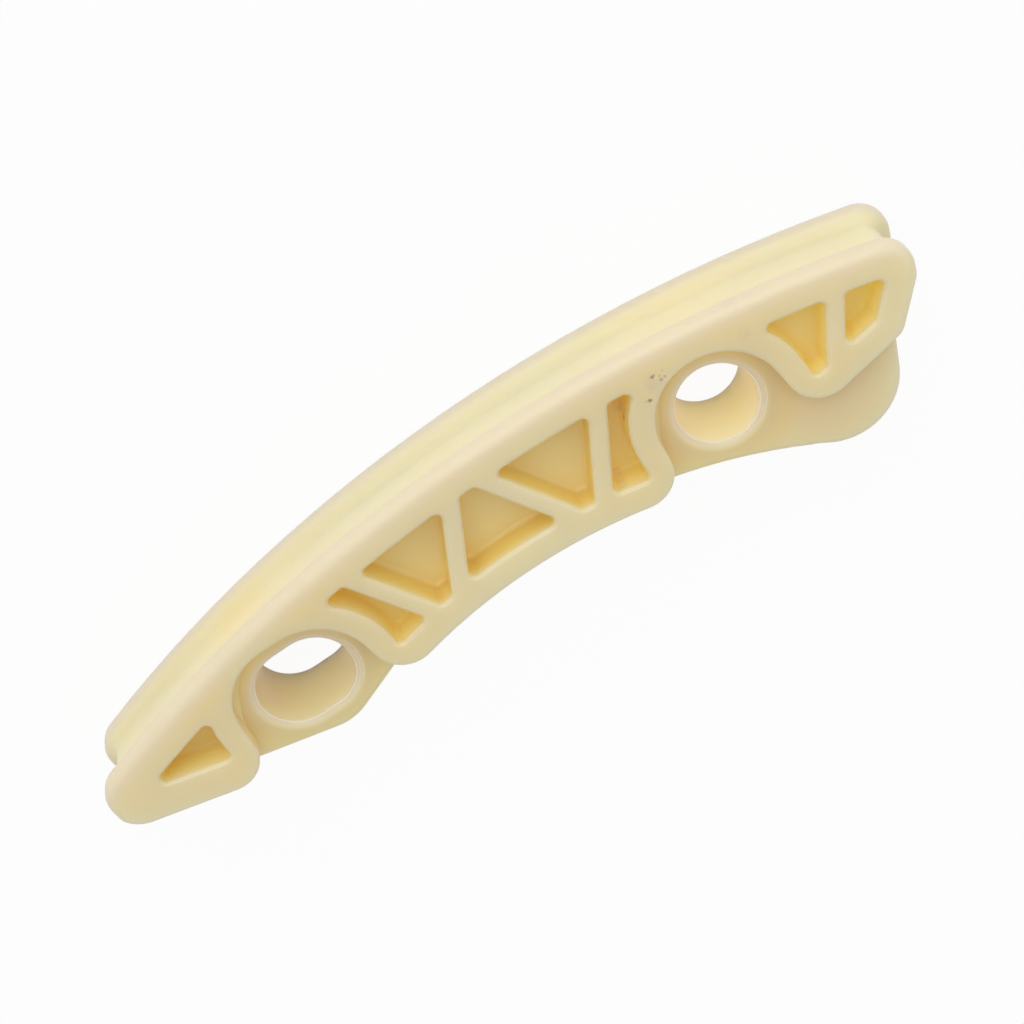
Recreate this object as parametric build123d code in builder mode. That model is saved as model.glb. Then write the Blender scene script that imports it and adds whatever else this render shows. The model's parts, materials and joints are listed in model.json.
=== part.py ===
from build123d import *
import math
import os

os.makedirs("parts", exist_ok=True)

# Chain run
guide_width = 14.0  # across the two rails
chain_radius = 185.0  # of the rail tops
crest_x = -27.2  # highest point of the run, from the round bolt hole
crest_height = 14.3  # rail tops above the line through the bolt holes
left_end_x = -88.2
right_end_x = 27.9
left_nose_radius = 4.1
right_nose_radius = 3.7
rail_width = 3.2
channel_depth = 1.5
rail_round = 1.2  # outer edges of the rails
channel_round = 1.2  # inner edges of the rails
channel_floor_round = 1.5  # runs over into the inner edges
left_run_out_angle = 180.0  # angle round the nose at which the channel starts to run out
right_run_out_angle = -20.0

# Bolt holes and the ledges round them
bolt_spacing = 59.6
bolt_hole_radius = 5.0
slot_travel = 2.6  # the far hole is slotted along the guide
ledge_height = 11.2  # bolt heads seat here, below the ribbed face
recess_radius = 7.9
recess_flare = 5.0  # degrees that the recess opens towards its mouth
lip_round = 0.8  # where the bolt holes open on the ledges

# Lower edge of the ribbed body
left_edge_angle = -15.0
belly_x = -29.6
belly_height = -3.1
belly_radius = 68.0
heel_slope = 0.19
toe_angle = 47.0
toe_length = 6.76  # from the right nose to the heel
mouth_corner_radius = 4.3
heel_round = 2.5

# Ledge outlines below the holes
slot_ledge_tip_offset = 1.3  # of the tip, from the slotted hole towards the round one
slot_ledge_tip = (slot_ledge_tip_offset - bolt_spacing, -8.5)
slot_ledge_left_slope = -0.255
slot_ledge_right_slope = 0.4
slot_ledge_tip_radius = 7.0
lobe_center = (12.4, -6.35)
lobe_radius = 8.05
lobe_start = (-11.6, -4.5)
lobe_approach = (-1.9, -7.8)
lobe_join_angle = 239.0
lobe_side_angle = -23.0
ledge_round = 0.8

# Lightening pockets and the ribs between them
deck_thickness = 4.0  # from the rail tops down to the pockets
left_wall_thickness = 4.5  # above and below the pocket in the left end
chord_thickness = 3.5  # lower flange
ring_thickness = 3.1  # wall round each bolt recess
rib_thickness = 2.2
truss_joints_x = (-49.4, -39.35, -29.2, -18.95, -8.5)  # high and low joints in turn
truss_top = 14.5
truss_bottom = -4.15
tail_rib_x = 16.75  # centre of the rib beyond the round hole
tail_rib_y = 2.0
pocket_depth = 4.8
pocket_draft = 1.5
pocket_corner = 0.8
pocket_rim_chamfer = 0.35
pocket_floor_round = 0.6  # pockets of the ribbed face only
face_round = 0.5  # outline edge of the ribbed face

slot_x = -bolt_spacing
ledge_cover = 1.0  # how far the ledges run in under the ribbed body
run_center = (crest_x, crest_height - chain_radius)
ledge_reach = recess_radius + ledge_cover
upper_half = (guide_width + 2 * recess_radius, guide_width)
ledge_right_x = slot_x + slot_travel / 2 + recess_radius + mouth_corner_radius
ledge_left_x = slot_x - slot_travel / 2 - recess_radius - mouth_corner_radius


def polar(center, radius, degrees):
    angle = math.radians(degrees)
    return (center[0] + radius * math.cos(angle), center[1] + radius * math.sin(angle))


def run_point(x, inset=0.0):
    # point on the rail tops, or on the same curve let in by inset
    radius = chain_radius - inset
    return (x, run_center[1] + math.sqrt(radius**2 - (x - run_center[0]) ** 2))


def nose_join(center, radius):
    # where a nose runs over into the rail tops
    scale = chain_radius / (chain_radius - radius)
    return tuple(r + (c - r) * scale for r, c in zip(run_center, center))


def line_at(start, slope, x):
    return (x, start[1] + slope * (x - start[0]))


left_nose = run_point(left_end_x + left_nose_radius, left_nose_radius)
right_nose = run_point(right_end_x - right_nose_radius, right_nose_radius)
left_low = polar(left_nose, left_nose_radius, left_edge_angle - 90)
right_low = polar(right_nose, right_nose_radius, toe_angle - 90)
heel_corner = polar(right_low, -toe_length, toe_angle)
belly_center = (belly_x, belly_height - belly_radius)
mouth_depth = recess_radius + mouth_corner_radius
recess_reach = mouth_depth + guide_width  # well past the lower edge


def belly_point(x):
    return (x, belly_center[1] + math.sqrt(belly_radius**2 - (x - belly_x) ** 2))


def add_recess():
    # seats round both bolt holes, open towards the lower edge
    flare = math.radians(recess_flare)
    for x, reach in ((0.0, 0.0), (slot_x, slot_travel / 2)):
        for side in (-1, 1):
            with Locations((x + side * reach, 0)):
                Circle(recess_radius, mode=Mode.SUBTRACT)
        half_top = reach + recess_radius * math.cos(flare)
        rise = recess_radius * math.sin(flare)
        half_mouth = half_top + (recess_reach + rise) * math.tan(flare)
        Polygon(
            (x - half_top, rise),
            (x - half_mouth, -recess_reach),
            (x + half_mouth, -recess_reach),
            (x + half_top, rise),
            align=None,
            mode=Mode.SUBTRACT,
        )
        if reach > 0:
            with Locations((x, 0)):
                Rectangle(2 * reach, 2 * recess_radius, mode=Mode.SUBTRACT)


def section_plane(center, radius, degrees):
    # plane across the rails at an angle round a centre, x outwards and y across the guide
    angle = math.radians(degrees)
    return Plane(
        origin=(*polar(center, radius, degrees), 0),
        x_dir=(math.cos(angle), math.sin(angle), 0),
        z_dir=(math.sin(angle), -math.cos(angle), 0),
    )


def profile_arcs():
    # centre, radius, first angle and sweep of the run and of the part of each nose that has the channel
    left_join = math.degrees(math.atan2(left_nose[1] - run_center[1], left_nose[0] - run_center[0]))
    right_join = math.degrees(math.atan2(right_nose[1] - run_center[1], right_nose[0] - run_center[0]))
    return (
        (run_center, chain_radius, 0, 360),
        (left_nose, left_nose_radius, left_join, left_run_out_angle - left_join),
        (right_nose, right_nose_radius, right_run_out_angle, right_join - right_run_out_angle),
    )


def shifted_line(start, degrees, distance):
    # point on the line through start, moved to its left by distance, and its slope
    angle = math.radians(degrees)
    point = (start[0] - distance * math.sin(angle), start[1] + distance * math.cos(angle))
    return point, math.tan(angle)


def left_pocket_bounds():
    # room for the pocket in the left end, above the lower edge
    point, slope = shifted_line(left_low, left_edge_angle, left_wall_thickness)
    return (
        line_at(point, slope, left_end_x),
        line_at(point, slope, slot_x),
        (slot_x, crest_height),
        (left_end_x, crest_height),
    )


def main_pocket_bounds():
    # room for the other pockets, above the two straight edges right of the round hole
    heel_angle = math.degrees(math.atan(heel_slope))
    heel_point, _ = shifted_line(heel_corner, heel_angle, chord_thickness)
    toe_point, toe_slope = shifted_line(heel_corner, toe_angle, chord_thickness)
    rise = toe_point[1] - heel_point[1] + heel_slope * heel_point[0] - toe_slope * toe_point[0]
    knee = line_at(heel_point, heel_slope, rise / (heel_slope - toe_slope))
    toe_end = line_at(toe_point, toe_slope, right_end_x)
    return (
        (slot_x, crest_height),
        (slot_x, -mouth_depth),
        (0, -mouth_depth),
        line_at(heel_point, heel_slope, 0),
        knee,
        toe_end,
        (right_end_x, toe_end[1] + crest_height),
    )


def truss_ribs():
    # centre lines of the zigzag between the bolt recesses, and of the rib past the round hole
    heights = (truss_top, truss_bottom)
    joints = [(x, heights[i % 2]) for i, x in enumerate(truss_joints_x)]
    ribs = list(zip(joints, joints[1:]))
    lean = (truss_joints_x[-1] - truss_joints_x[-2]) / (truss_top - truss_bottom)
    tail = [(tail_rib_x + lean * (y - tail_rib_y), y) for y in (truss_bottom, truss_top)]
    ribs.append(tuple(tail))
    return ribs


def add_rib(start, end):
    run = math.hypot(end[0] - start[0], end[1] - start[1])
    angle = math.degrees(math.atan2(end[1] - start[1], end[0] - start[0]))
    with Locations(((start[0] + end[0]) / 2, (start[1] + end[1]) / 2)):
        Rectangle(run, rib_thickness, rotation=angle, mode=Mode.SUBTRACT)


# Room outside the rails and in the channel: x outwards from the rail tops, y across the guide
with BuildSketch() as rail_profile:
    for y, side in ((0.0, 1), (guide_width, -1)):
        with Locations((0, y)):
            Rectangle(2 * rail_round, 2 * rail_round)
        with Locations((-rail_round, y + side * rail_round)):
            Circle(rail_round, mode=Mode.SUBTRACT)
    wall_angle = math.acos(1 - channel_depth / (channel_round + channel_floor_round))
    floor_edge = rail_width + channel_floor_round * math.sin(wall_angle)
    with BuildLine():
        Line((-channel_depth, guide_width / 2), (-channel_depth, floor_edge))
        foot = JernArc(
            (-channel_depth, floor_edge), (0, -1), channel_floor_round, math.degrees(wall_angle)
        )
        rim = JernArc(foot @ 1, foot % 1, channel_round, -math.degrees(wall_angle))
        Polyline(
            rim @ 1,
            (channel_depth, (rim @ 1).Y),
            (channel_depth, guide_width / 2),
            (-channel_depth, guide_width / 2),
        )
    make_face()
    mirror(about=Plane.XZ.offset(-guide_width / 2))


with BuildPart() as chain_guide:
    # Ledges that carry the bolt heads, with the lobe below the round hole
    with BuildSketch() as slot_ledge:
        with Locations((slot_x, 0)):
            SlotCenterToCenter(slot_travel, 2 * ledge_reach)
            Rectangle(*upper_half, align=(Align.CENTER, Align.MIN), mode=Mode.INTERSECT)
        Polygon(
            slot_ledge_tip,
            line_at(slot_ledge_tip, slot_ledge_right_slope, ledge_right_x),
            (ledge_right_x, 0),
            (ledge_left_x, 0),
            line_at(slot_ledge_tip, slot_ledge_left_slope, ledge_left_x),
            align=None,
        )
        tip = vertices().sort_by_distance(slot_ledge_tip)[0]
        fillet(tip, slot_ledge_tip_radius)
    extrude(amount=ledge_height)
    with BuildSketch() as lobe_ledge:
        Circle(ledge_reach)
        Rectangle(*upper_half, align=(Align.CENTER, Align.MIN), mode=Mode.INTERSECT)
        lobe_end = polar(lobe_center, lobe_radius, lobe_side_angle)
        lobe_side = math.tan(math.radians(lobe_side_angle + 90))
        lobe_top_y = heel_corner[1] + ledge_cover
        lobe_top = (lobe_end[0] + (lobe_top_y - lobe_end[1]) / lobe_side, lobe_top_y)
        with BuildLine():
            ThreePointArc(lobe_start, lobe_approach, polar(lobe_center, lobe_radius, lobe_join_angle))
            ThreePointArc(
                polar(lobe_center, lobe_radius, lobe_join_angle),
                polar(lobe_center, lobe_radius, 270),
                lobe_end,
            )
            Polyline(
                lobe_end,
                lobe_top,
                (lobe_top[0] - lobe_radius / 2, 0),
                (lobe_start[0], 0),
                lobe_start,
            )
        make_face()
    extrude(amount=ledge_height)
    fillet(edges().group_by(Axis.Z)[-1], ledge_round)

    # Ribbed body, full width, open at the two bolt recesses
    with BuildSketch() as body_outline:
        with BuildLine():
            ThreePointArc(
                nose_join(left_nose, left_nose_radius),
                run_point(crest_x),
                nose_join(right_nose, right_nose_radius),
            )
            ThreePointArc(
                nose_join(right_nose, right_nose_radius),
                polar(right_nose, right_nose_radius, 10),
                right_low,
            )
            Line(right_low, heel_corner)
            Line(heel_corner, line_at(heel_corner, heel_slope, 0))
            Line(line_at(heel_corner, heel_slope, 0), belly_point(0))
            ThreePointArc(belly_point(0), belly_point(belly_x), belly_point(slot_x))
            left_slope = math.tan(math.radians(left_edge_angle))
            Line(belly_point(slot_x), line_at(left_low, left_slope, slot_x))
            Line(line_at(left_low, left_slope, slot_x), left_low)
            ThreePointArc(
                left_low,
                polar(left_nose, left_nose_radius, 180),
                nose_join(left_nose, left_nose_radius),
            )
        make_face()
        add_recess()
        mouth_corners = [
            v
            for v in vertices()
            if v.Y < -recess_radius / 2 and min(abs(v.X), abs(v.X - slot_x)) < mouth_depth
        ]
        fillet(mouth_corners, mouth_corner_radius)
        heel = vertices().sort_by_distance(heel_corner)[0]
        fillet(heel, heel_round)
    extrude(amount=guide_width)

    # Outline edge of the ribbed face
    fillet(edges().group_by(Axis.Z)[-1], face_round)

    # Lightening pockets between the truss ribs, the same from both faces
    for face_height, inward in ((guide_width, -1), (0.0, 1)):
        with BuildSketch(Plane.XY.offset(face_height)) as pocket_cells:
            Polygon(*left_pocket_bounds(), align=None)
            with Locations(run_center):
                Circle(chain_radius - left_wall_thickness, mode=Mode.INTERSECT)
            Polygon(*main_pocket_bounds(), align=None)
            with Locations(run_center):
                Circle(chain_radius - deck_thickness, mode=Mode.INTERSECT)
            with Locations(belly_center):
                Circle(belly_radius + chord_thickness, mode=Mode.SUBTRACT)
            ring_radius = recess_radius + ring_thickness
            for x, reach in ((0.0, 0.0), (slot_x, slot_travel / 2)):
                for side in (-1, 1):
                    with Locations((x + side * reach, 0)):
                        Circle(ring_radius, mode=Mode.SUBTRACT)
                with Locations((x, 0)):
                    Rectangle(
                        2 * (reach + ring_radius),
                        2 * mouth_depth,
                        align=(Align.CENTER, Align.MAX),
                        mode=Mode.SUBTRACT,
                    )
            for start, end in truss_ribs():
                add_rib(start, end)
            offset(amount=-pocket_corner)
            offset(amount=pocket_corner)
        extrude(amount=inward * pocket_depth, taper=pocket_draft, mode=Mode.SUBTRACT)
        rims = edges(Select.LAST).filter_by_position(Axis.Z, face_height, face_height)
        chamfer(rims, pocket_rim_chamfer)
        if face_height > 0:
            floor_height = face_height - pocket_depth
            floor_edges = edges().filter_by_position(Axis.Z, floor_height, floor_height)
            fillet(floor_edges, pocket_floor_round)

    # Channel and rail edges along the run, carried on round both noses until they run out
    for center, radius, start, sweep in profile_arcs():
        with BuildSketch(section_plane(center, radius, start)):
            add(rail_profile.sketch)
        revolve(axis=Axis((*center, 0), (0, 0, 1)), revolution_arc=sweep, mode=Mode.SUBTRACT)
    for center, radius, degrees, way in (
        (left_nose, left_nose_radius, left_run_out_angle, -1),
        (right_nose, right_nose_radius, right_run_out_angle, 1),
    ):
        with BuildSketch(section_plane(center, radius, degrees)):
            add(rail_profile.sketch)
        extrude(amount=way * 2 * radius, mode=Mode.SUBTRACT)

    # Bolt holes
    with BuildSketch():
        Circle(bolt_hole_radius)
        with Locations((slot_x, 0)):
            SlotCenterToCenter(slot_travel, 2 * bolt_hole_radius)
    extrude(amount=guide_width, mode=Mode.SUBTRACT)
    lips = edges(Select.LAST).filter_by_position(Axis.Z, ledge_height, ledge_height)
    fillet(lips, lip_round)
chain_guide.part.label = "chain_guide"
export_step(chain_guide.part, "parts/chain_guide.step")
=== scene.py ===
import json
import math

import bpy
from mathutils import Matrix, Vector


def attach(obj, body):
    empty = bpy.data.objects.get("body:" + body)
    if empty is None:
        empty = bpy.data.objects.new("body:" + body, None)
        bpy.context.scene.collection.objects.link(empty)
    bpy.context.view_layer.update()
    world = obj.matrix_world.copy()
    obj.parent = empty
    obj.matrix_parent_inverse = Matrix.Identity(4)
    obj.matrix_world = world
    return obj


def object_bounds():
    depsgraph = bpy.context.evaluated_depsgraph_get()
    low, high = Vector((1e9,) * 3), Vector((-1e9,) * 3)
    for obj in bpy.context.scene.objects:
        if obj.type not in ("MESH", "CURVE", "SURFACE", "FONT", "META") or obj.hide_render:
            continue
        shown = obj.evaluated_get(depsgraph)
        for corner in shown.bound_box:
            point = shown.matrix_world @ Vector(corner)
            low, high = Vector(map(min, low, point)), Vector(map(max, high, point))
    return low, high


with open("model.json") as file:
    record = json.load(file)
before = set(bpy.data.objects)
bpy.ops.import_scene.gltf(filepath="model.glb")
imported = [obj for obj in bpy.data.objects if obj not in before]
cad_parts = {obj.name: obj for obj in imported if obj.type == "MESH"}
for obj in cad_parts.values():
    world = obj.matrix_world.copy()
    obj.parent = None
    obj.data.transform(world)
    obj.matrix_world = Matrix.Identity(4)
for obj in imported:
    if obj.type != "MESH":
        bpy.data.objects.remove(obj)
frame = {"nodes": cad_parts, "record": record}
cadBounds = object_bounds()
guide = frame["nodes"]["chain_guide"]
print("frame loaded")

# Places that the looks refer to, read from the frame
mm = 0.001
lowCorner, highCorner = cadBounds
mounts = {mount["name"]: mount for mount in frame["record"]["mounts"]}
roundHole = Vector(mounts["round_bolt_hole"]["pos_m"])
slotHole = Vector(mounts["slotted_bolt_hole"]["pos_m"])
crest = Vector(mounts["chain_run"]["pos_m"])


# A socket in a node tree, so that a pattern or a shape can be written as plain maths
class Field:
    def __init__(self, tree, socket):
        self.tree = tree
        self.socket = socket

    def node(self, kind, settings=None, inputs=None, output=0):
        made = self.tree.nodes.new(kind)
        for name, value in (settings or {}).items():
            setattr(made, name, value)
        for name, value in (inputs or {}).items():
            if isinstance(value, Field):
                self.tree.links.new(value.socket, made.inputs[name])
            else:
                made.inputs[name].default_value = value
        return Field(self.tree, made.outputs[output])

    def maths(self, operation, *terms):
        return self.node("ShaderNodeMath", {"operation": operation}, dict(enumerate(terms)))

    def __add__(self, other):
        return self.maths("ADD", self, other)

    def __radd__(self, other):
        return self.maths("ADD", other, self)

    def __sub__(self, other):
        return self.maths("SUBTRACT", self, other)

    def __rsub__(self, other):
        return self.maths("SUBTRACT", other, self)

    def __mul__(self, other):
        return self.maths("MULTIPLY", self, other)

    def __rmul__(self, other):
        return self.maths("MULTIPLY", other, self)

    def __truediv__(self, other):
        return self.maths("DIVIDE", self, other)

    def __pow__(self, other):
        return self.maths("POWER", self, other)

    def root(self):
        return self.maths("SQRT", self)

    def size(self):
        return self.maths("ABSOLUTE", self)

    def sign(self):
        return self.maths("SIGN", self)

    def sine(self):
        return self.maths("SINE", self)

    def cosine(self):
        return self.maths("COSINE", self)

    def atMost(self, other):
        return self.maths("MINIMUM", self, other)

    def atLeast(self, other):
        return self.maths("MAXIMUM", self, other)

    def above(self, low, high):
        # 0 below low, 1 over high, smooth between
        return self.node(
            "ShaderNodeMapRange",
            {"interpolation_type": "SMOOTHSTEP"},
            {"Value": self, "From Min": low, "From Max": high},
        )

    def below(self, low, high):
        return 1 - self.above(low, high)

    def parts(self, count=3):
        # x, y and z of a vector
        return [
            self.node("ShaderNodeSeparateXYZ", inputs={0: self}, output=k) for k in range(count)
        ]

    def noise(self, scale, detail):
        return self.node(
            "ShaderNodeTexNoise", inputs={"Vector": self, "Scale": scale, "Detail": detail}
        )


noiseMiddle = 0.5  # the level that a noise pattern lies about


def newMaterial(name):
    material = bpy.data.materials.new(name)
    material.use_nodes = True
    tree = material.node_tree
    tree.nodes.clear()
    return material, tree


def closeMaterial(tree, shaderSocket):
    output = tree.nodes.new("ShaderNodeOutputMaterial")
    tree.links.new(shaderSocket, output.inputs["Surface"])


def blendColor(mask, under, over):
    # over laid on under where mask is 1
    return mask.node(
        "ShaderNodeMix",
        {"data_type": "RGBA"},
        {0: mask, 6: under, 7: over},
        output=2,
    )


# Measures of the guide in millimetres
guideShape = {
    "width": highCorner.z / mm,
    "runRadius": 185.0,
    "channelDepth": 1.5,
    "railWidth": 3.2,
    "deck": 4.0,  # from the run to the pockets
    "hollow": (-29.6, -71.1),  # middle of the hollow lower edge
    "hollowRadius": 68.0,
    "flange": 3.5,  # from the lower edge to the pockets
    "recessRadius": 7.9,
    "ringWall": 3.1,  # from the recesses to the pockets
    "straights": (  # straight edges: a point, the angle, and the wall from there to the pockets
        (-85.16, -2.94, -15.0, 4.5),
        (22.3, -4.3, 10.8, 3.5),
        (22.3, -4.3, 47.0, 3.5),
    ),
    "ribs": ((-49.4, 14.5, -0.539), (-18.95, -4.15, 0.56)),  # outer ribs: a point and the slope
    "pocketFloor": 9.2,
    "ledge": 11.2,
    "bore": 5.0,
    "lip": 0.8,
    "slotTravel": 2.6,
}

# Where the nylon's tints fade, in millimetres from the edge or axis that each belongs to
tintFade = {
    "pocket": (0.1, 0.5),  # within and beyond the walls
    "pocketDepth": (0.1, 2.0),
    "wall": (0.05, 0.9),
    "narrow": 0.5,
    "runDepth": (3.0, 1.2),
    "channel": (0.8, 1.0),  # within and beyond the edge
    "rail": (0.2, 1.2),
    "ends": (8.0, 12.0),  # outwards from the bolt holes
    "ledge": (0.1, 0.3),
    "bore": (0.05, 0.35),
    "lipStart": 0.2,
    "lipEnd": 0.3,
    "seatStart": 0.6,
    "seatEnd": 3.0,
    "seatMouth": (-13.0, -6.0),
    "ledgeRim": (1.5, 3.5),
    "ledgeGlow": (-2.0, 5.0),
    "sides": 1.0,  # either side of the middle between the holes
}


def distanceTo(x, y, middle):
    # in plan
    return ((x - middle[0]) * (x - middle[0]) + (y - middle[1]) * (y - middle[1])).root()


def runDistance(x, y):
    # from the middle of the circle that the run lies on
    drop = guideShape["runRadius"] - guideShape["channelDepth"]
    return distanceTo(x, y, (crest.x / mm, crest.y / mm - drop))


def holeDistance(x, y):
    # from the axes of both bolt holes, the slotted one taken along its middle line
    reach = guideShape["slotTravel"] / 2
    along = x - slotHole.x / mm
    past = along - along.atMost(reach).atLeast(-reach)
    toSlot = (past * past + y * y).root()
    return toSlot.atMost(distanceTo(x, y, roundHole / mm))


def faceDistance(z):
    # from the middle plane of the guide towards either face
    return (z - guideShape["width"] / 2).size()


def pocketMask(x, y, z):
    # 1 on the walls and floors of the pockets of both faces
    within, beyond = tintFade["pocket"]
    top = guideShape["runRadius"] - guideShape["deck"]
    low = guideShape["hollowRadius"] + guideShape["flange"]
    ring = guideShape["recessRadius"] + guideShape["ringWall"]
    mask = runDistance(x, y).below(top - within, top + beyond)
    mask = mask * distanceTo(x, y, guideShape["hollow"]).above(low - beyond, low + within)
    for hole in (roundHole, slotHole):
        mask = mask * distanceTo(x, y, hole / mm).above(ring - beyond, ring + within)
    for startX, startY, degrees, wall in guideShape["straights"]:
        angle = math.radians(degrees)
        inside = (y - startY) * math.cos(angle) - (x - startX) * math.sin(angle)
        mask = mask * inside.above(wall - beyond, wall + within)
    depth = (guideShape["width"] / 2) - faceDistance(z)
    return mask * depth.above(*tintFade["pocketDepth"])


def wallMask(z):
    # 1 above the pocket floors of both faces
    floor = guideShape["pocketFloor"] - guideShape["width"] / 2
    start, full = tintFade["wall"]
    return faceDistance(z).above(floor + start, floor + full)


def narrowMask(x, y):
    # 1 outside the two outer ribs of the truss, where the pockets are small
    first, last = guideShape["ribs"]
    fade = tintFade["narrow"]
    past = x - first[0] - (y - first[1]) * first[2]
    beyond = x - last[0] - (y - last[1]) * last[2]
    return past.below(-fade, fade) + beyond.above(-fade, fade)


def runMasks(x, y, z):
    # the channel, and the rail tops beside it
    deep, shallow = tintFade["runDepth"]
    top = guideShape["runRadius"]
    onTop = runDistance(x, y).above(top - deep, top - shallow)
    edge = guideShape["width"] / 2 - guideShape["railWidth"]
    fromMiddle = faceDistance(z)
    within, beyond = tintFade["channel"]
    channel = onTop * fromMiddle.below(edge - within, edge + beyond)
    within, beyond = tintFade["rail"]
    return channel, onTop * fromMiddle.above(edge - within, edge + beyond)


def ledgeMasks(x, y, z):
    # the bores, their lips and the seats on the ledges, and the places round the holes
    bore = guideShape["bore"]
    rim = bore + guideShape["lip"]
    ring = guideShape["recessRadius"] + guideShape["ringWall"]
    fromHole = holeDistance(x, y)
    start, full = tintFade["ledge"]
    upToLedge = z.below(guideShape["ledge"] + start, guideShape["ledge"] + full)
    start, full = tintFade["bore"]
    inBore = fromHole.below(bore + start, bore + full)
    onLip = fromHole.above(bore, bore + tintFade["lipStart"])
    onLip = onLip * fromHole.below(bore + guideShape["lip"] / 2, rim + tintFade["lipEnd"])
    onSeat = fromHole.above(rim, rim + tintFade["seatStart"])
    onSeat = onSeat * fromHole.below(ring - tintFade["seatEnd"], ring)
    onSeat = onSeat * y.above(*tintFade["seatMouth"])
    start, full = tintFade["ledgeRim"]
    return {
        "bore": inBore * upToLedge,
        "lip": onLip * upToLedge,
        "seat": onSeat * upToLedge,
        "rim": fromHole.above(bore + start, bore + full),
        "nearHole": fromHole.below(ring, 2 * ring),
    }


# Natural nylon: its tints by place, several of them painted light and shade, how strongly each is laid
# on, its painted glow and its surface
nylonLook = {
    "skin": (0.845, 0.722, 0.452, 1),
    "thick": (0.86, 0.705, 0.41, 1),
    # painted shade: the seats on the recess ledges darker than the skin, the shade of the recesses,
    # with a more orange tone
    "ledge": (0.765, 0.62, 0.325, 1),
    "ledgeRim": (0.83, 0.665, 0.315, 1),
    # painted light: the channel brighter than the skin, as the top that faces the light, and the rail
    # tops greyer, a painted sheen of their lit tops
    "run": (1.0, 0.835, 0.54, 1),
    "rail": (0.835, 0.69, 0.50, 1),
    # painted light and shade in the pockets: amber floors and narrow pockets laid brighter against the
    # shade of the hollows, walls darker as painted shade, the right end lighter and the left end
    # darker as the light falls
    "floor": (0.93, 0.76, 0.36, 1),
    "wall": (0.79, 0.59, 0.14, 1),
    "narrow": (0.97, 0.80, 0.33, 1),
    "narrowWall": (0.92, 0.745, 0.29, 1),
    "tail": (0.93, 0.80, 0.35, 1),
    "leftEndShaded": (0.86, 0.73, 0.31, 1),
    # painted light: the bore walls laid paler than the skin, lifting the shade inside the bores
    "roundBoreLit": (1.0, 0.88, 0.62, 1),
    "slotBoreLit": (0.92, 0.80, 0.50, 1),
    # painted highlight: the lips round the bores laid paler than the skin
    "lip": (0.93, 0.80, 0.58, 1),
    "shade": (0.70, 0.58, 0.31, 1),
    "pale": (0.98, 0.90, 0.66, 1),
    "thickShare": 0.85,
    "runShare": 0.9,
    "railShare": 0.85,
    "pocketShare": 0.85,
    "ledgeShare": 0.8,
    "boreShare": 0.8,
    "lipShare": 0.6,
    "cloudShare": 0.12,
    "mottleShare": 0.08,
    # painted light: emission that brightens the pockets, the seats and the bores, standing in for
    # light that comes through the thin walls of the moulding
    "floorGlow": (0.045, 0.035, 0.012, 1),
    "pocketGlow": (0.045, 0.022, 0.003, 1),
    "tailGlow": (0.07, 0.05, 0.01, 1),
    "ledgeGlow": (0.09, 0.07, 0.01, 1),
    "roundGlow": (0.12, 0.08, 0.02, 1),
    "slotGlow": (0.035, 0.012, 0.002, 1),
    "noGlow": (0, 0, 0, 1),
    "subsurface": 0.8,
    "reach": (1.0, 0.85, 0.62),
    "reachScale": 8 * mm,
    "roughness": 0.4,
    "roughnessRange": 0.14,
    # noise patterns as scale and detail
    "cloud": (90.0, 4.0),
    "mottle": (420.0, 3.0),
    "grain": (1500.0, 3.0),
    "grainDepth": 0.02 * mm,
    "grainStrength": 0.5,
}

# Wear as the photograph shows it: x, y, lowest and highest z, and radius in millimetres, then strength
wearLook = {
    "specks": (
        (-3.97, 9.25, 13.0, 14.0, 0.33, 0.75),
        (-3.65, 9.34, 13.0, 14.0, 0.22, 0.55),
        (-4.23, 9.33, 13.0, 14.0, 0.22, 0.3),
        (-3.32, 8.34, 13.0, 14.0, 0.33, 0.6),
        (-2.75, 8.42, 13.0, 14.0, 0.28, 0.45),
        (-3.21, 8.86, 13.0, 14.0, 0.22, 0.3),
        (-2.62, 9.26, 13.0, 14.0, 0.2, 0.3),
        (-5.84, 6.92, 13.0, 14.0, 0.33, 1.0),
        (-5.59, 6.85, 13.0, 14.0, 0.22, 0.6),
        (-6.23, 7.03, 13.0, 14.0, 0.2, 0.3),
        (-9.69, 5.2, 10.4, 10.9, 0.5, 0.9),
        (10.93, 5.99, 12.0, 14.0, 0.3, 0.4),
        (-65.0, -1.7, 8.0, 10.0, 0.3, 0.8),
    ),
    "rubs": (
        (8.2, 12.4, 11.4, 14.0, 2.1, 0.75),
        (10.4, 11.6, 12.6, 14.0, 1.7, 0.5),
        (6.2, 12.0, 13.0, 14.0, 1.3, 0.35),
        (7.4, 7.33, 13.0, 14.0, 1.4, 0.2),
        (-4.2, 8.6, 13.0, 14.0, 1.8, 0.3),
        (-9.5, 6.2, 9.0, 11.5, 1.2, 0.4),
        (-14.5, -1.0, 9.0, 13.0, 0.8, 0.4),
    ),
    "core": 0.3,  # share of the radius at full strength
    "zFade": 0.2,
    "speckColor": (0.36, 0.23, 0.17, 1),
    "speckNoise": (2600.0, 2.0),
    "speckRange": (0.1, 0.55),
    "rubColor": (0.62, 0.52, 0.46, 1),
    "rubNoise": (1100.0, 3.0),
    "rubRange": (0.2, 0.7),
}


def wearMask(x, y, z, marks, ragged, look):
    # patches broken up by a noise pattern
    fade = look["zFade"]
    total = ragged * 0
    for markX, markY, low, high, radius, strength in marks:
        near = distanceTo(x, y, (markX, markY)).below(radius * look["core"], radius)
        total = total + near * z.above(low - fade, low) * z.below(high, high + fade) * strength
    return total * ragged


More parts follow.
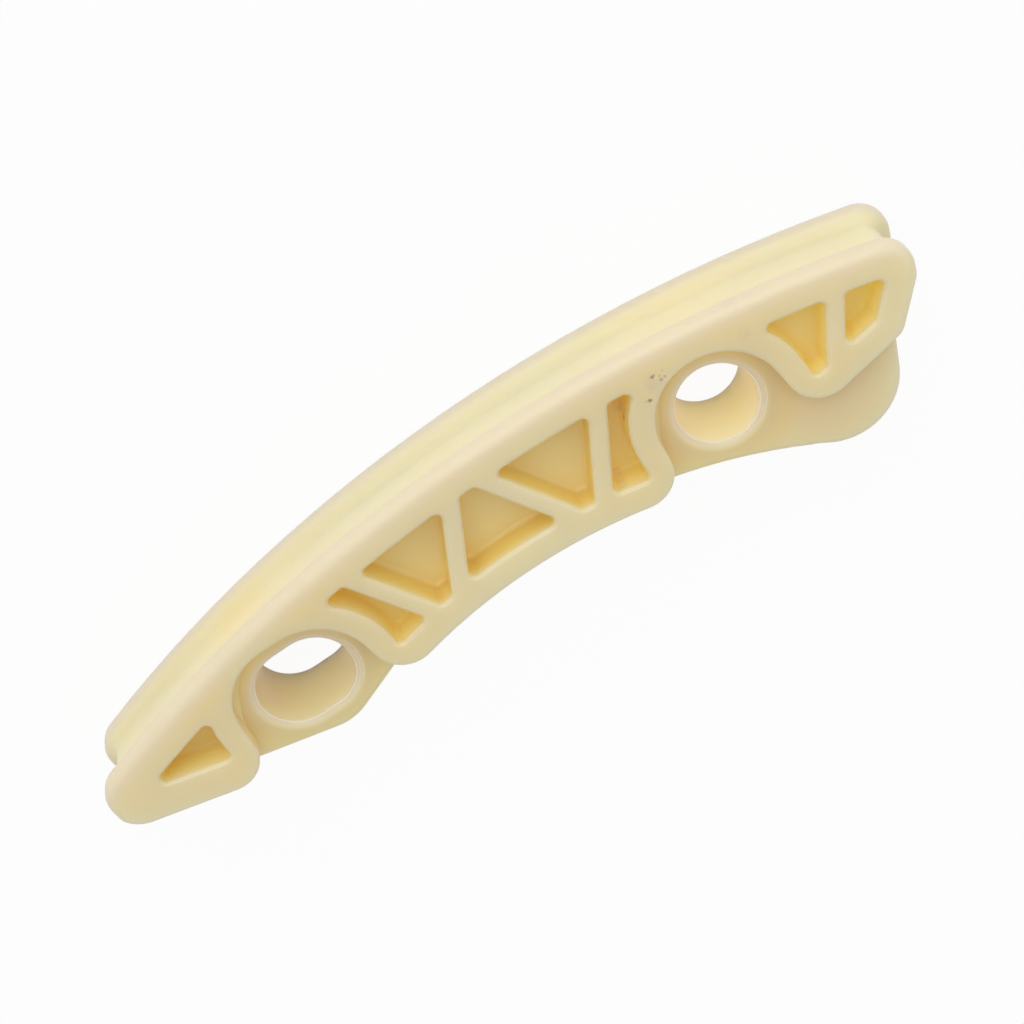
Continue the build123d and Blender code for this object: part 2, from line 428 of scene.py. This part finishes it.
def nylonTints(x, y, z, look):
    # colour, with its painted light and shade, and painted glow by place on the guide
    color = look["skin"]
    ledge = ledgeMasks(x, y, z)
    channel, rails = runMasks(x, y, z)
    color = blendColor(ledge["nearHole"] * look["thickShare"], color, look["thick"])
    # painted light on the channel and painted sheen on the rail tops
    color = blendColor(channel * look["runShare"], color, look["run"])
    color = blendColor(rails * look["railShare"], color, look["rail"])

    # pockets: floors painted brighter and walls painted darker, as painted light and shade, painted
    # paler outside the outer ribs, with painted light at the right end and painted shade at the left
    # end
    near, far = tintFade["ends"]
    inTail = x.above(roundHole.x / mm + near, roundHole.x / mm + far)
    inLeftEnd = x.below(slotHole.x / mm - far, slotHole.x / mm - near)
    onWall, narrow, pocket = wallMask(z), narrowMask(x, y), pocketMask(x, y, z)
    wide = blendColor(onWall, look["floor"], look["wall"])
    small = blendColor(onWall, look["narrow"], look["narrowWall"])
    inside = blendColor(narrow, wide, small)
    inside = blendColor(inTail * (1 - onWall), inside, look["tail"])
    inside = blendColor(inLeftEnd, inside, look["leftEndShaded"])
    color = blendColor(pocket * look["pocketShare"], color, inside)
    # painted light: glow in the pockets, with its own tone in the narrow ones and stronger at the
    # right end
    glow = blendColor(narrow, look["floorGlow"], look["pocketGlow"])
    glow = blendColor(inTail, glow, look["tailGlow"])
    glow = blendColor(pocket, look["noGlow"], glow)

    # ledges with painted shade, bores painted brighter as painted light, and lips with a painted
    # highlight, the bores each with a tint and a painted glow of their own
    seat, bore = ledge["seat"], ledge["bore"] * look["boreShare"]
    middle = (roundHole.x + slotHole.x) / 2 / mm
    besideSlot = x.below(middle - tintFade["sides"], middle + tintFade["sides"])
    seatColor = blendColor(ledge["rim"], look["ledge"], look["ledgeRim"])
    color = blendColor(seat * look["ledgeShare"], color, seatColor)
    # painted light: bore walls brighter
    color = blendColor(bore, color, blendColor(besideSlot, look["roundBoreLit"], look["slotBoreLit"]))
    # painted highlight on the lips
    color = blendColor(ledge["lip"] * look["lipShare"], color, look["lip"])
    # painted light: glow that lifts the painted shade on the upper side of the seats
    glow = blendColor(seat * y.above(*tintFade["ledgeGlow"]), glow, look["ledgeGlow"])
    glow = blendColor(bore, glow, blendColor(besideSlot, look["roundGlow"], look["slotGlow"]))
    return color, glow


def nylonMaterial(look, wear):
    material, tree = newMaterial("naturalNylon")
    place = Field(tree, tree.nodes.new("ShaderNodeTexCoord").outputs["Object"])
    x, y, z = [part / mm for part in place.parts()]
    color, glow = nylonTints(x, y, z, look)

    cloud = place.noise(*look["cloud"]) - noiseMiddle
    mottle = place.noise(*look["mottle"]) - noiseMiddle
    uneven = cloud * look["cloudShare"] + mottle * look["mottleShare"]
    color = blendColor(uneven.atLeast(0.0), color, look["shade"])
    color = blendColor(uneven.atMost(0.0).size(), color, look["pale"])

    ragged = place.noise(*wear["rubNoise"]).above(*wear["rubRange"])
    color = blendColor(wearMask(x, y, z, wear["rubs"], ragged, wear), color, wear["rubColor"])
    ragged = place.noise(*wear["speckNoise"]).above(*wear["speckRange"])
    color = blendColor(wearMask(x, y, z, wear["specks"], ragged, wear), color, wear["speckColor"])

    roughness = look["roughness"] + cloud * look["roughnessRange"]
    bump = place.node(
        "ShaderNodeBump",
        inputs={
            "Strength": look["grainStrength"],
            "Distance": look["grainDepth"],
            "Height": place.noise(*look["grain"]),
        },
    )
    shader = tree.nodes.new("ShaderNodeBsdfPrincipled")
    shader.inputs["Subsurface Weight"].default_value = look["subsurface"]
    shader.inputs["Subsurface Radius"].default_value = look["reach"]
    shader.inputs["Subsurface Scale"].default_value = look["reachScale"]
    # painted light: the glow of the tints is given out as emission
    shader.inputs["Emission Strength"].default_value = 1.0
    tree.links.new(color.socket, shader.inputs["Base Color"])
    tree.links.new(glow.socket, shader.inputs["Emission Color"])
    tree.links.new(roughness.socket, shader.inputs["Roughness"])
    tree.links.new(bump.socket, shader.inputs["Normal"])
    closeMaterial(tree, shader.outputs[0])
    return material


guide.data.materials.clear()
guide.data.materials.append(nylonMaterial(nylonLook, wearLook))
print("nylon laid on the guide")


def plainMaterial(name, look):
    material, tree = newMaterial(name)
    shader = tree.nodes.new("ShaderNodeBsdfPrincipled")
    shader.inputs["Base Color"].default_value = look["color"]
    shader.inputs["Roughness"].default_value = look["roughness"]
    if "glow" in look:
        shader.inputs["Emission Color"].default_value = look["glow"]
        shader.inputs["Emission Strength"].default_value = 1.0
    closeMaterial(tree, shader.outputs[0])
    return material


def newTree(name, inputs):
    # an empty node group, the identifiers of its named inputs, and the inputs as fields
    tree = bpy.data.node_groups.new(name, "GeometryNodeTree")
    sockets = {}
    for label, kind in inputs.items():
        socket = tree.interface.new_socket(label, in_out="INPUT", socket_type="NodeSocket" + kind)
        sockets[label] = socket.identifier
    tree.interface.new_socket("Geometry", in_out="OUTPUT", socket_type="NodeSocketGeometry")
    group = tree.nodes.new("NodeGroupInput")
    return tree, sockets, {label: Field(tree, group.outputs[label]) for label in inputs}


def movedTo(shape, x, y, z, center):
    # the points of a shape set to x, y and z from center
    local = x.node("ShaderNodeCombineXYZ", inputs={0: x, 1: y, 2: z})
    place = x.node("ShaderNodeVectorMath", {"operation": "ADD"}, {0: local, 1: center})
    return x.node("GeometryNodeSetPosition", inputs={"Geometry": shape, "Position": place})


def closeTree(tree, mesh, material):
    # smoothed, made real and given its material
    smooth = mesh.node(
        "GeometryNodeSetShadeSmooth", inputs={"Geometry": mesh, "Shade Smooth": True}
    )
    real = mesh.node("GeometryNodeRealizeInstances", inputs={"Geometry": smooth})
    painted = mesh.node(
        "GeometryNodeSetMaterial", inputs={"Geometry": real, "Material": material}
    )
    result = tree.nodes.new("NodeGroupOutput")
    tree.links.new(painted.socket, result.inputs["Geometry"])


def layPiece(name, tree, sockets, values):
    # runs the node group once and keeps its result as a plain mesh that rides the guide
    maker = bpy.data.objects.new("maker", bpy.data.meshes.new("maker"))
    bpy.context.scene.collection.objects.link(maker)
    modifier = maker.modifiers.new("maker", "NODES")
    modifier.node_group = tree
    for label, value in values.items():
        modifier[sockets[label]] = value
    ready = maker.evaluated_get(bpy.context.evaluated_depsgraph_get())
    mesh = bpy.data.meshes.new_from_object(ready)
    maker.modifiers.clear()
    bpy.data.objects.remove(maker)
    piece = bpy.data.objects.new(name, mesh)
    bpy.context.scene.collection.objects.link(piece)
    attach(piece, "root")


# Thin moulding flash round the lips of the bolt holes, in millimetres, as arcs from start over
# sweep degrees
flashLook = {
    "color": (0.98, 0.91, 0.80, 1),
    "roughness": 0.4,
    "steps": 240,
    "sectionSteps": 8,
    "noiseScales": (900.0, 1400.0, 1900.0),  # of the radius, the height and the thickness
    "noiseDetail": 3.0,
    "fadePower": 0.4,  # lower keeps a line thick nearer to its ends
    "swell": 1.6,  # unevenness of the thickness
    "slotSnap": 0.05,  # either side of the middle, where one end of the slot goes over to the other
    "lines": {
        "roundFlash": {
            "hole": roundHole, "travel": 0.0, "radius": 5.12, "height": 10.86,
            "start": 165, "sweep": 222, "thickness": 0.12, "ragged": 0.3, "seed": 3.0,
        },
        "roundFlashOuter": {
            "hole": roundHole, "travel": 0.0, "radius": 5.85, "height": 11.19,
            "start": -62, "sweep": 75, "thickness": 0.05, "ragged": 0.2, "seed": 8.0,
        },
        "slotFlash": {
            "hole": slotHole, "travel": guideShape["slotTravel"], "radius": 5.12, "height": 10.86,
            "start": 128, "sweep": 240, "thickness": 0.1, "ragged": 0.14, "seed": 5.0,
        },
        "slotFlashOuter": {
            "hole": slotHole, "travel": guideShape["slotTravel"], "radius": 6.0, "height": 11.19,
            "start": -50, "sweep": 70, "thickness": 0.06, "ragged": 0.12, "seed": 12.0,
        },
    },
}


def flashTree(look):
    # one arc, drawn out by Travel, roughened and swept with a round section that fades at both ends
    tree, sockets, value = newTree(
        "flashLine",
        {
            "Center": "Vector", "Travel": "Float", "Radius": "Float", "Height": "Float",
            "Start": "Float", "Sweep": "Float", "Thickness": "Float", "Ragged": "Float",
            "Seed": "Float", "Material": "Material",
        },
    )
    arc = value["Radius"].node(
        "GeometryNodeCurveArc",
        {"mode": "RADIUS"},
        {
            "Resolution": look["steps"],
            "Radius": value["Radius"],
            "Start Angle": value["Start"],
            "Sweep Angle": value["Sweep"],
        },
    )
    x, y = arc.node("GeometryNodeInputPosition").parts(2)
    shifted = x.node("ShaderNodeCombineXYZ", inputs={0: x, 1: y, 2: value["Seed"]})
    rough, rise, swell = [
        shifted.noise(scale, look["noiseDetail"]) - noiseMiddle for scale in look["noiseScales"]
    ]
    stretch = 1 + rough * value["Ragged"] / value["Radius"]
    side = (x / (look["slotSnap"] * mm)).atMost(1.0).atLeast(-1.0)
    line = movedTo(
        arc,
        x * stretch + side * value["Travel"] / 2,
        y * stretch,
        value["Height"] + rise * value["Ragged"] / 2,
        value["Center"],
    )
    along = line.node("GeometryNodeSplineParameter")
    fade = (along * math.pi).sine() ** look["fadePower"]
    section = line.node(
        "GeometryNodeCurvePrimitiveCircle", inputs={"Resolution": look["sectionSteps"], "Radius": 1.0}
    )
    swept = line.node(
        "GeometryNodeCurveToMesh",
        inputs={
            "Curve": line,
            "Profile Curve": section,
            "Scale": fade * (1 + swell * look["swell"]) * value["Thickness"],
            "Fill Caps": True,
        },
    )
    closeTree(tree, swept, value["Material"])
    return tree, sockets


def makeFlash(look):
    tree, sockets = flashTree(look)
    material = plainMaterial("flashNylon", look)
    for name, line in look["lines"].items():
        values = {
            "Center": line["hole"], "Travel": line["travel"] * mm, "Radius": line["radius"] * mm,
            "Height": line["height"] * mm, "Start": math.radians(line["start"]),
            "Sweep": math.radians(line["sweep"]), "Thickness": line["thickness"] * mm,
            "Ragged": line["ragged"] * mm, "Seed": line["seed"], "Material": material,
        }
        layPiece(name, tree, sockets, values)


makeFlash(flashLook)
print("flash laid round the lips")

# Soft foot between the recess walls and the ledges, with a painted glow that lifts its shade, fading
# out towards the mouths, in millimetres
footLook = {
    "color": (0.85, 0.685, 0.335, 1),
    # painted light: emission that lifts the shade at the foot of the walls
    "glow": (0.04, 0.03, 0.002, 1),
    "roughness": 0.45,
    "size": 1.1,
    "flare": 5.0,  # degrees, of the straight walls towards the mouths
    "fullTo": 9.0,  # along the wall from the top of the recess
    "endAt": 13.4,
    "sink": 0.02,  # into the wall and the ledge
    "steps": 181,
    "sectionSteps": 11,
    "roundTo": 0.4,  # share of the section on either side that is rounding, the rest is the corner
    "roundFade": (0.02, 0.08),
    "mergeShare": 0.05,  # of the sink, within which points are merged
    "travels": {"roundFoot": (roundHole, 0.0), "slotFoot": (slotHole, guideShape["slotTravel"])},
}


def footTree(look):
    # a grid whose x runs along the wall from the top of the recess and whose y runs round the section,
    # from the hidden corner up the rounding and back, merged to one closed skin
    tree, sockets, value = newTree(
        "recessFoot",
        {
            "Center": "Vector", "Travel": "Float", "Size": "Float", "Wall": "Float",
            "Material": "Material",
        },
    )
    end = look["endAt"] * mm
    grid = value["Wall"].node(
        "GeometryNodeMeshGrid",
        inputs={
            "Size X": 2 * end,
            "Size Y": 1.0,
            "Vertices X": look["steps"],
            "Vertices Y": look["sectionSteps"],
        },
    )
    along, across = grid.node("GeometryNodeInputPosition").parts(2)

    # the section: how far it stands out from the wall and up from the ledge
    size = value["Size"] * along.size().below(look["fullTo"] * mm, end)
    start, full = look["roundFade"]
    rounding = across.size().below(look["roundTo"] + start, look["roundTo"] + full)
    climb = (across * (0.5 / look["roundTo"]) + 0.5) * (math.pi / 2)
    out = size * rounding * (1 - climb.sine()) - look["sink"] * mm
    up = size * rounding * (1 - climb.cosine()) - look["sink"] * mm

    # the wall: an arc about the hole that goes over into straights
    flare = math.radians(look["flare"])
    limit = math.radians(90 - look["flare"])
    turn = (along / value["Wall"]).atMost(limit).atLeast(-limit)
    extra = (along.size() - value["Wall"] * limit).atLeast(0.0)
    side = along.sign()
    reach = value["Wall"] - out
    bent = movedTo(
        grid,
        reach * turn.sine() + side * extra * math.sin(flare) + side * value["Travel"] / 2,
        reach * turn.cosine() - extra * math.cos(flare),
        up + guideShape["ledge"] * mm,
        value["Center"],
    )
    closed = bent.node(
        "GeometryNodeMergeByDistance",
        inputs={"Geometry": bent, "Distance": look["sink"] * mm * look["mergeShare"]},
    )
    closeTree(tree, closed, value["Material"])
    return tree, sockets


def makeFeet(look):
    tree, sockets = footTree(look)
    material = plainMaterial("footNylon", look)
    for name, (hole, travel) in look["travels"].items():
        values = {
            "Center": hole, "Travel": travel * mm, "Size": look["size"] * mm,
            "Wall": guideShape["recessRadius"] * mm, "Material": material,
        }
        layPiece(name, tree, sockets, values)


makeFeet(footLook)
print("feet of the recess walls laid")

# Pale floor that shows white with the guide's shadow on it
floorLook = {"size": 3.0, "gap": 0.2 * mm, "gray": (0.9, 0.9, 0.9, 1), "whiteShare": 0.94}


def seenRays(tree):
    # 1 for what the camera sees, straight, mirrored or through a clear thing
    rays = tree.nodes.new("ShaderNodeLightPath")
    camera, glossy, through = [
        Field(tree, rays.outputs[name])
        for name in ("Is Camera Ray", "Is Glossy Ray", "Is Transmission Ray")
    ]
    return camera.atLeast(glossy).atLeast(through)


def makeFloor(look):
    half = look["size"] / 2
    height = lowCorner.z - look["gap"]
    corners = [(-half, -half), (half, -half), (half, half), (-half, half)]
    mesh = bpy.data.meshes.new("floor")
    mesh.from_pydata([(x, y, height) for x, y in corners], [], [(0, 1, 2, 3)])
    floor = bpy.data.objects.new("floor", mesh)
    bpy.context.scene.collection.objects.link(floor)
    material, tree = newMaterial("paleFloor")
    seen = seenRays(tree)
    diffuse = seen.node("ShaderNodeBsdfDiffuse", inputs={"Color": look["gray"]})
    white = seen.node("ShaderNodeEmission", inputs={"Color": (1, 1, 1, 1), "Strength": 1.0})
    mixed = seen.node(
        "ShaderNodeMixShader", inputs={0: seen * look["whiteShare"], 1: diffuse, 2: white}
    )
    closeMaterial(tree, mixed.socket)
    mesh.materials.append(material)


makeFloor(floorLook)
print("floor laid")

# Softboxes, placed by direction from the middle of the guide, and a white room
lampLook = {
    "key": {"toward": (0.15, 0.83, 0.54), "distance": 0.8, "size": 0.8, "watts": 3.15},
    "front": {"toward": (0.72, 0.0, 0.69), "distance": 0.35, "size": 0.3, "watts": 0.05},
    "room": 0.70,
}


def addLamp(name, look):
    data = bpy.data.lights.new(name, "AREA")
    data.shape = "SQUARE"
    data.size = look["size"]
    data.energy = look["watts"]
    lamp = bpy.data.objects.new(name, data)
    middle = (lowCorner + highCorner) / 2
    toward = Vector(look["toward"])
    place = Matrix.Translation(middle + toward.normalized() * look["distance"])
    lamp.matrix_world = place @ toward.to_track_quat("Z", "Y").to_matrix().to_4x4()
    bpy.context.scene.collection.objects.link(lamp)


def makeRoom(strength):
    # white to the camera, and dimmer as a light
    world = bpy.data.worlds.new("whiteRoom")
    world.use_nodes = True
    bpy.context.scene.world = world
    tree = world.node_tree
    tree.nodes.clear()
    backdrop = tree.nodes.new("ShaderNodeBackground")
    rays = tree.nodes.new("ShaderNodeLightPath")
    seen = Field(tree, rays.outputs["Is Camera Ray"])
    level = strength + seen * (1 - strength)
    tree.links.new(level.socket, backdrop.inputs["Strength"])
    output = tree.nodes.new("ShaderNodeOutputWorld")
    tree.links.new(backdrop.outputs[0], output.inputs["Surface"])


addLamp("keySoftbox", lampLook["key"])
addLamp("frontSoftbox", lampLook["front"])
makeRoom(lampLook["room"])
print("lamps and room set")

# Camera at the photograph's viewpoint
viewLook = {
    "place": (0.02116, 0.14015, 0.26656),
    "toward": (0.1639, 0.4656, 0.8697),
    "up": (0.5519, 0.6875, -0.4720),
    "lens": 87.9,
    "sensor": 36.0,
}


def placeCamera(look):
    data = bpy.data.cameras.new("photoCamera")
    data.sensor_width = look["sensor"]
    data.lens = look["lens"]
    camera = bpy.data.objects.new("photoCamera", data)
    back = Vector(look["toward"]).normalized()
    up = Vector(look["up"])
    up = (up - back * up.dot(back)).normalized()
    right = up.cross(back)
    turn = Matrix((right, up, back)).transposed().to_4x4()
    camera.matrix_world = Matrix.Translation(look["place"]) @ turn
    bpy.context.scene.collection.objects.link(camera)
    bpy.context.scene.camera = camera


placeCamera(viewLook)
bpy.context.scene.view_settings.view_transform = "Standard"
print("camera placed")
